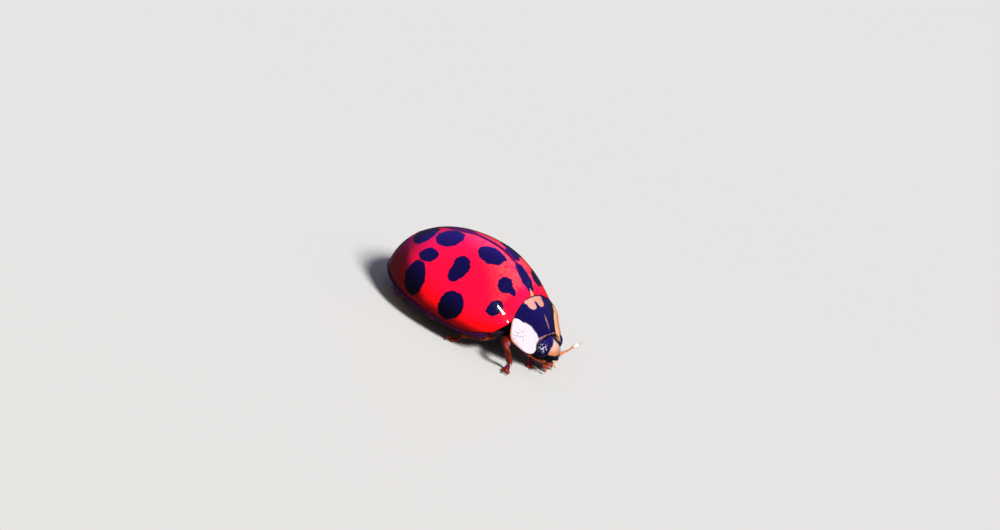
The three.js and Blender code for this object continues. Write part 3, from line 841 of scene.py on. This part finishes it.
def shield_paint():
    """Black, with white sides, cream lobes at the rear edge, and faint marks. Painted light turns the white
    orange on the left side and tints the right lobe pink. v runs down the slope.
    """
    paint = Paint.material("neck_shield", 0.3, 1.0, 0.04)
    where = paint.place()
    top = paint.vector("SUBTRACT", where, tuple(SHIELD_TOP)).outputs[0]
    v = paint.dot(top, tuple(SLOPE_DOWN))
    x = paint.math("ADD", paint.dot(top, (1, 0, 0)), PATTERN_ASIDE)
    flat = paint.combined(paint.math("ABSOLUTE", x), v, 0.0)
    uneven = paint.wobbled(flat, 6.0, 0.06)
    side = paint.union([
        paint.mark(uneven, (2.68, 2.67, 0), (1.44, 2.57, 1), turned(-46)),
        paint.mark(uneven, (1.31, 0.88, 0), (0.27, 0.38, 1)),
    ])
    lobe = paint.mark(uneven, (0.28, 0.27, 0), (0.22, 0.18, 1), turned(-25))
    saddle = paint.mark(uneven, (0.0, 0.14, 0), (0.58, 0.1, 1))
    notch = paint.mark(uneven, (0.0, 0.42, 0), (0.075, 0.24, 1))
    own = paint.wobbled(paint.combined(x, v, 0.0), 9.0, 0.08)
    line = paint.mark(own, (0.11, 0.98, 0), (0.045, 0.27, 1))
    brow = paint.mark(uneven, (0.35, 1.4, 0), (0.6, 0.035, 1))
    inner = paint.smooth(paint.mark(flat, (1.3, 1.05, 0), (0.3, 0.34, 1)), 1.1, 0.4)
    cream = paint.mix(paint.noise(where, 5.0), (0.5, 0.2, 0.08), (0.55, 0.27, 0.13))
    white = paint.mix(paint.noise(where, 4.0), (0.54, 0.47, 0.5), (0.5, 0.42, 0.46))
    speck = paint.smooth(paint.cells(where, 11.0), 0.34, 0.2)
    white = paint.mix(paint.times(speck, inner), white, SHIELD_SPECK)
    # painted light: towards the left side the white turns orange
    white = paint.mix(paint.smooth(x, 0.0, 0.5), white, SHIELD_LEFT_LIGHT)
    patch = paint.smooth(paint.union([lobe, saddle]), 1.08, 0.92)
    patch = paint.times(patch, paint.smooth(notch, 0.9, 1.1))
    # painted light: the right lobe is tinted pinker than the left one
    cream_with_painted_light = paint.mix(paint.smooth(x, 0.1, -0.35), cream, SHIELD_RIGHT_LIGHT)
    colour = paint.mix(patch, SHIELD_BLACK, cream_with_painted_light)
    colour = paint.mix(paint.times(paint.smooth(line, 1.2, 0.6), 0.8), colour, SHIELD_LINE)
    patchy = paint.smooth(paint.noise(where, 9.0), 0.35, 0.6)
    brow = paint.times(paint.smooth(brow, 1.3, 0.6), patchy)
    colour = paint.mix(brow, colour, SHIELD_BROW)
    colour = paint.mix(paint.smooth(side, 1.015, 0.985), colour, white)
    bead = paint.times(paint.attribute("edge"), paint.smooth(paint.math("ABSOLUTE", x), 1.2, 1.6))
    paint.colour(paint.mix(bead, colour, SHIELD_EDGE))
    paint.pits(where, 13.0, 0.26, 0.005)
    return paint.owner


def add_prothorax(material):
    """The hollowed underside of the shield, and the breastbone between the fore legs."""
    rings = [NECK_HEART + (shield_ring(share) - NECK_HEART) * INSIDE_SIZE for share in INSIDE_SHARES]
    for share, drop, level in UNDERSIDE:
        ring = NECK_HEART + (shield_ring(share) - NECK_HEART) * UNDERSIDE_SIZE
        ring[:, 2] = np.minimum(ring[:, 2] - drop, level)
        rings.append(ring)
    add_piece("prothorax_underside", loft(rings), material, ["prothorax"])


# ---- belly plates

BELLY_POINTS = 41
PLATE_LOWER, PLATE_UPPER = -0.03, 0.12  # heights of a plate's sides, against the wing cases' edge
BELLY_CURVE = 0.55  # exponent of the belly's cross-section
PLATE_STEP, PLATE_ROUNDING, PLATE_TUCK = 0.022, 0.04, 0.02  # how a plate's rear and front edges are shaped


def belly_ring(y, drop):
    """One cross-section of the belly. drop lowers its underside."""
    half = float(half_width(np.array(y), PLATE_INSET))
    across = np.linspace(-1, 1, BELLY_POINTS)
    level = float(rim_level(np.array(y)))
    sag = BELLY * np.maximum(1 - across**2, 0) ** BELLY_CURVE
    lower = np.stack([half * across, np.full(BELLY_POINTS, y), level + PLATE_LOWER - sag - drop], -1)
    upper = lower[::-1] * [0.97, 1, 0] + [0, 0, level + PLATE_UPPER]
    ring = np.vstack([lower, upper])
    ring[:, 1] -= reach_ahead(ring[:, 0], y)
    return ring


# where each plate begins and ends, in Y
PLATES = [
    ("mesothorax", -1.42, -0.86),
    ("metathorax", -0.84, 0.5),
    ("abdomen_1", 0.48, 1.25),
    ("abdomen_2", 1.22, 1.78),
    ("abdomen_3", 1.75, 2.22),
    ("abdomen_4", 2.19, 2.62),
    ("abdomen_5", 2.59, 2.98),
]


def add_belly(thorax_material, abdomen_material):
    for name, start, end in PLATES:
        rings = []
        for t in np.linspace(0, 1, 12):
            rounding = 1 - quarter(max(0, (t - 0.85) / 0.15), 2)
            drop = PLATE_STEP * t - PLATE_ROUNDING * rounding - PLATE_TUCK * (t < 0.05)
            rings.append(belly_ring(start + (end - start) * t, drop))
        material = abdomen_material if name.startswith("abdomen") else thorax_material
        add_piece(f"{name}_plate", loft(rings), material, [name])


def abdomen_paint():
    """Black in the middle, and orange-brown towards the sides."""
    paint = Paint.material("abdomen", 0.35, 0.8)
    where = paint.place()
    x, y = paint.split(paint.wobbled(where, 4.0, 0.15))[:2]
    narrowing = paint.math("ADD", paint.math("ABSOLUTE", x), paint.times(y, 0.3))
    amber = paint.mix(paint.noise(where, 6.0), (0.35, 0.08, 0.015), (0.5, 0.14, 0.03))
    paint.colour(paint.mix(paint.smooth(narrowing, 1.5, 2.1), (0.01, 0.006, 0.006), amber))
    paint.pits(where, 14.0, 0.3, 0.004)
    return paint.owner


# ---- head

TRIANGLE_ASIDE = 0.15  # how far to its right the face's triangle lies
# rows: the head's own left, back and up
HEAD_AXES = np.array((Matrix.Rotation(HEAD_TURN, 3, "Z") @ Matrix.Rotation(HEAD_ROLL, 3, "Y")).transposed())


def turn_head(shape):
    vertices, faces = shape
    return (vertices - HEAD_PIVOT) @ HEAD_AXES + HEAD_PIVOT + HEAD_ASIDE, faces


def lean_head(rings, way):
    """The face leans, its mouth ahead of its brow, and is dished where the antennae are set."""
    forward = np.maximum(-way[..., 1], 0)
    moved = rings.copy()
    moved[..., 1] += HEAD_LEAN * (rings[..., 2] - HEAD_CENTRE[2]) * forward
    x, z = moved[..., 0], moved[..., 2]
    aside, above = (np.abs(x) - SOCKET[0]) / SOCKET_RADII[0], (z - SOCKET[1]) / SOCKET_RADII[1]
    moved[..., 1] += forward * SOCKET_DEPTH * np.exp(-(aside**2) - above**2)
    return moved


def head_place(paint, wobble):
    """Left, back and up on the head, in its own directions."""
    pivot = tuple(HEAD_PIVOT + HEAD_ASIDE)
    from_pivot = paint.vector("SUBTRACT", paint.wobbled(paint.place(), 7.0, wobble), pivot).outputs[0]
    left, back, up = (paint.dot(from_pivot, tuple(axis)) for axis in HEAD_AXES)
    return left, back, paint.math("ADD", up, float(HEAD_PIVOT[2]))


def head_paint():
    """Black, with a cream triangle on the face that narrows upwards and browns towards its lower edge as
    painted shade.
    """
    paint = Paint.material("head", 0.3, 1.0, 0.05)
    x, y, z = head_place(paint, 0.06)
    sideways = paint.math("ABSOLUTE", paint.math("ADD", x, TRIANGLE_ASIDE))
    patch = paint.smooth(paint.math("MULTIPLY_ADD", sideways, 0.55, z), 1.13, 1.08)
    patch = paint.times(patch, paint.smooth(z, 0.67, 0.72))
    patch = paint.times(patch, paint.smooth(y, -0.1, -0.2))
    # painted shade: the cream browns towards the triangle's lower edge
    cream = paint.mix(paint.smooth(z, 0.72, 1.0), (0.4, 0.15, 0.06), (0.6, 0.36, 0.26))
    paint.colour(paint.mix(patch, (0.001, 0.0008, 0.002), cream))
    paint.pits(paint.place(), 15.0, 0.28, 0.005)
    return paint.owner


def eye_paint():
    """Black tinted blue, a painted reflection, with pale lilac facets on its outer face, a painted highlight.
    """
    paint = Paint.material("eye_surface", 0.2, 1.0, 0.1)
    x, y, z = head_place(paint, 0.03)
    away = paint.combined(paint.math("ABSOLUTE", x), y, z)
    outer = paint.mark(away, (1.03, -0.18, 0.9), (0.15, 0.15, 0.15))
    where = paint.place()
    facet = paint.cells(where, 16.0)
    # painted highlight: pale lilac facets on the outer face
    pale = paint.times(paint.smooth(facet, 0.55, 0.25), paint.smooth(outer, 1.3, 0.5))
    # painted reflection: the black is tinted blue
    dark = paint.mix(paint.smooth(facet, 0.2, 0.6), (0.014, 0.01, 0.08), (0.002, 0.002, 0.01))
    paint.colour(paint.mix(pale, dark, (0.5, 0.45, 0.68)))
    paint.bump(paint.smooth(facet, 0.75, 0.0), 0.02)
    return paint.owner


def clypeus_paint():
    """Black with a cream lower edge."""
    paint = Paint.material("clypeus", 0.3, 0.9)
    z = head_place(paint, 0.03)[2]
    paint.colour(paint.mix(paint.smooth(z, 0.53, 0.5), (0.002, 0.0012, 0.002), (0.6, 0.4, 0.22)))
    paint.pits(paint.place(), 16.0, 0.3, 0.004)
    return paint.owner


def palp_paint():
    """Red-brown with pale tips, and the left one paler as a painted highlight."""
    paint = Paint.material("palp", 0.35, 0.9)
    x, _, z = paint.split(paint.place())
    # painted highlight: the left palp is paler
    pale = paint.math("MAXIMUM", paint.smooth(z, 0.17, 0.12), paint.smooth(x, 0.0, 0.4))
    paint.colour(paint.mix(pale, (0.2, 0.035, 0.01), (0.75, 0.5, 0.34)))
    paint.pits(paint.place(), 22.0, 0.3, 0.003)
    return paint.owner


def add_head(amber):
    capsule = ball(HEAD_CENTRE, HEAD_RADII, lean_head, 96, 64)
    add_piece("head_capsule", turn_head(capsule), head_paint(), ["head"])
    eye_material = eye_paint()
    for side, sign in SIDES.items():
        shape = turn_head(ball(EYE_CENTRE * [sign, 1, 1], EYE_RADII, None, 64, 48))
        add_piece(f"eye_{side}_lens", shape, eye_material, [f"eye_{side}"])
    upper = turn_head(ball((0, -2.9, 0.5), (0.43, 0.24, 0.12), None, 64, 32))
    add_piece("clypeus_plate", upper, clypeus_paint(), ["clypeus"])
    lip = turn_head(ball((0, -2.88, 0.31), (0.3, 0.17, 0.13), None, 48, 28))
    add_piece("labrum_plate", lip, amber, ["labrum"])
    for side, sign in SIDES.items():
        jaw = limb([(0.27, -2.8, 0.2), (0.24, -2.98, 0.19), (0.08, -3.03, 0.16)], (0.07, 0.06, 0.02))
        add_piece(f"mandible_{side}", turn_head(mirror(jaw, sign)), amber)


JOINT_OVERLAP = 0.008  # as a share of the whole line


def segmented(points, segments):
    """Joints in a row: each has a share of the length, and half-widths at its root and tip."""
    count = 241
    path = evenly(spline(points, 300), count)
    total = sum(segment[0] for segment in segments)
    shapes, start = [], 0.0
    for share, root, tip in segments:
        end = start + share / total
        picks = np.linspace(start, end, 5) * (count - 1)
        line = np.stack([np.interp(picks, np.arange(count), path[:, k]) for k in range(3)], -1)
        widths = (root, (root + tip) / 2 * 1.04, tip)
        shapes.append(limb(line, widths, steps=14, sides=14, ends=(0.45, 0.35)))
        start = end - JOINT_OVERLAP
    return join(shapes)


# joints from root to tip: share of the length, and half-widths at the two ends
ANTENNA_JOINTS = [
    (0.2, 0.06, 0.07), (0.1, 0.05, 0.045), (0.13, 0.026, 0.034), (0.09, 0.024, 0.03), (0.09, 0.024, 0.03),
    (0.08, 0.025, 0.031), (0.075, 0.026, 0.033), (0.075, 0.028, 0.038), (0.11, 0.036, 0.06),
    (0.1, 0.052, 0.07), (0.12, 0.062, 0.045),
]
PALP_JOINTS = [(0.12, 0.025, 0.03), (0.3, 0.03, 0.036), (0.2, 0.032, 0.036), (0.38, 0.036, 0.055)]


def feeler_paint():
    """Orange with a pale club on the left, a painted highlight, and brown on the right, painted shade."""
    paint = Paint.material("feeler", 0.35, 0.8)
    where = paint.place()
    x = paint.split(where)[0]
    # painted shade: the right antenna is brown where the left is orange
    shaded_stem = paint.mix(paint.smooth(x, -0.2, 0.5), (0.2, 0.04, 0.01), (0.5, 0.15, 0.05))
    # painted highlight: the left antenna's club is pale
    paint.colour(paint.mix(paint.smooth(x, 1.38, 1.48), shaded_stem, (0.8, 0.66, 0.62)))
    paint.pits(where, 25.0, 0.3, 0.003)
    return paint.owner


def add_feelers(amber):
    material = feeler_paint()
    palp_material = palp_paint()
    rng = np.random.default_rng(5)
    for side in SIDES:
        antenna = segmented(FEELERS[side], ANTENNA_JOINTS)
        add_piece(f"antenna_{side}_joints", antenna, material, [f"antenna_{side}"])
        palp = segmented(PALPS[side], PALP_JOINTS)
        add_piece(f"palp_{side}_joints", palp, palp_material, [f"palp_{side}"])
        path = evenly(spline(FEELERS[side], CURVE_POINTS), 90)[6:]
        ways = unit(rng.normal(size=path.shape)) + unit(np.gradient(path, axis=0)) * 1.2
        roots = path + unit(ways) * 0.02
        lengths = rng.uniform(0.06, 0.1, len(path))
        add_piece(f"antenna_{side}_hairs", hairs(zip(roots, ways, lengths)), amber)


# ---- legs

BOW = np.array([0, 0, 0.03])  # how far the middle of thigh and shin bends up
FLOOR_ROOM = 0.015  # least height of a bristle's tip
LEG_BROWNS = [(0.12, 0.009, 0.002), (0.26, 0.03, 0.006)]
# half-widths and half-depths at even stations
THIGH = ((0.11, 0.17, 0.17, 0.14, 0.1), (0.09, 0.13, 0.13, 0.11, 0.09))
SHIN = ((0.075, 0.09, 0.1, 0.115, 0.125), (0.07, 0.08, 0.085, 0.09, 0.095))


def claw_paint():
    paint = Paint.material("claw", 0.25, 1.0)
    cloud = paint.noise(paint.place(), 12.0)
    paint.colour(paint.mix(cloud, (0.05, 0.012, 0.006), (0.12, 0.03, 0.01)))
    return paint.owner


def add_leg(name, joints, material, dark, rng):
    hip, knee, ankle, toe = (np.array(p, float) for p in joints)
    reach = unit(knee - hip)
    sole = unit((toe - ankle) * [1, 1, 0])
    across = np.array([-sole[1], sole[0], 0])
    coxa = ball(hip + reach * 0.1, (0.24, 0.2, 0.16), None, 28, 18)
    trochanter = limb([hip + reach * 0.25, hip + reach * 0.5], (0.11, 0.13, 0.11), steps=16)
    add_piece(f"coxa_{name}_joint", join([coxa, trochanter]), material)
    thigh = limb([hip + reach * 0.4, (hip + knee) / 2 + BOW, knee], *THIGH)
    add_piece(f"femur_{name}_shell", thigh, material, [f"femur_{name}"])
    shin_way = unit(ankle - knee)
    shin = limb([knee - shin_way * 0.05, (knee + ankle) / 2 + BOW, ankle + [0, 0, -0.04]], *SHIN)
    spurs = []
    for outward in (-across, across):
        tip = ankle + outward * 0.1 + sole * 0.1 - [0, 0, 0.1]
        spurs.append(limb([ankle + outward * 0.07, tip], (0.016, 0.004), sides=8))
    add_piece(f"tibia_{name}_shell", join([shin, *spurs]), material, [f"tibia_{name}"])
    add_foot(name, ankle, toe, sole, across, material, dark)
    add_leg_hairs(name, hip, knee, ankle, toe, material, rng)


def add_foot(name, ankle, toe, sole, across, material, dark):
    """Two padded joints, the second one two-lobed, then the slender claw joint and its two toothed claws."""
    stride = sole * np.linalg.norm((toe - ankle)[:2])
    ground = ankle * [1, 1, 0]

    def at(along, aside, height):
        """along is a share of the foot's length, and the others are in millimetres."""
        return ground + stride * along + across * aside + [0, 0, height]

    heel = [ankle - [0, 0, 0.05], at(0.18, 0, 0.1), at(0.4, 0, 0.06)]
    first = limb(heel, (0.06, 0.09, 0.12), (0.06, 0.06, 0.05))
    lobes, claws = [], []
    for s in (-1, 1):
        pad = [at(0.32, s * 0.03, 0.08), at(0.55, s * 0.08, 0.05), at(0.74, s * 0.11, 0.035)]
        lobes.append(limb(pad, (0.06, 0.08, 0.055), (0.05, 0.045, 0.03)))
        outward = across * s
        root = at(0.87, s * 0.03, 0.09)
        arch = root + sole * 0.09 + outward * 0.05 + [0, 0, 0.01]
        tip = root + sole * 0.13 + outward * 0.08 + [0, 0, -0.08]
        claws.append(limb([root, arch, tip], (0.024, 0.02, 0.005), sides=10))
        tooth = root + sole * 0.04 + outward * 0.05 + [0, 0, -0.05]
        claws.append(limb([root + outward * 0.015, tooth], (0.022, 0.008), sides=8))
    stalk = limb([at(0.5, 0, 0.09), at(0.75, 0, 0.13), at(0.9, 0, 0.09)], (0.032, 0.035, 0.05))
    foot = join([first, *lobes, stalk])
    add_piece(f"tarsus_{name}_joints", foot, material, [f"tarsus_{name}"])
    add_piece(f"claws_{name}", join(claws), dark)


def add_leg_hairs(name, hip, knee, ankle, toe, material, rng):
    """Bristles all round the thigh, shin and foot, but none that would reach into the floor."""
    # start, end, radius of the limb, number of bristles and their length
    spans = [
        (hip, knee, 0.13, 60, 0.07),
        (knee, ankle, 0.09, 110, 0.09),
        (ankle, toe * [1, 1, 0] + [0, 0, 0.03], 0.06, 60, 0.05),
    ]
    bristles = []
    for start, end, radius, count, size in spans:
        along = unit(end - start)
        side = unit(np.cross(along, [0.1, 0.2, 1.0]))
        over = np.cross(side, along)
        for _ in range(count):
            t, turn = rng.uniform(0.12, 0.98), rng.uniform(0, 2 * math.pi)
            out = side * math.cos(turn) + over * math.sin(turn)
            root = start + (end - start) * t + out * radius * 0.9
            way = out * 0.5 + along
            length = size * rng.uniform(0.7, 1.2)
            if root[2] + way[2] * length > FLOOR_ROOM:
                bristles.append((root, way, length))
    add_piece(f"hairs_{name}", hairs(bristles), material)


def add_legs():
    material = shell_paint("leg", LEG_BROWNS, 0.3, (18.0, 0.004), (4.0, 3.0), 0.06)
    dark = claw_paint()
    for number, (name, joints) in enumerate(LEGS.items()):
        add_leg(name, joints, material, dark, np.random.default_rng(20 + number))


# ---- assembly

add_studio()
black_shell = shell_paint("black_shell", [(0.004, 0.003, 0.006), (0.012, 0.008, 0.01)])
amber_shell = shell_paint("amber_shell", [(0.2, 0.035, 0.008), (0.36, 0.08, 0.02)], 0.35, (22.0, 0.003))
add_wing_cases()
add_scutellum()
add_neck_shield()
add_prothorax(black_shell)
add_belly(black_shell, abdomen_paint())
add_head(amber_shell)
add_feelers(amber_shell)
add_legs()
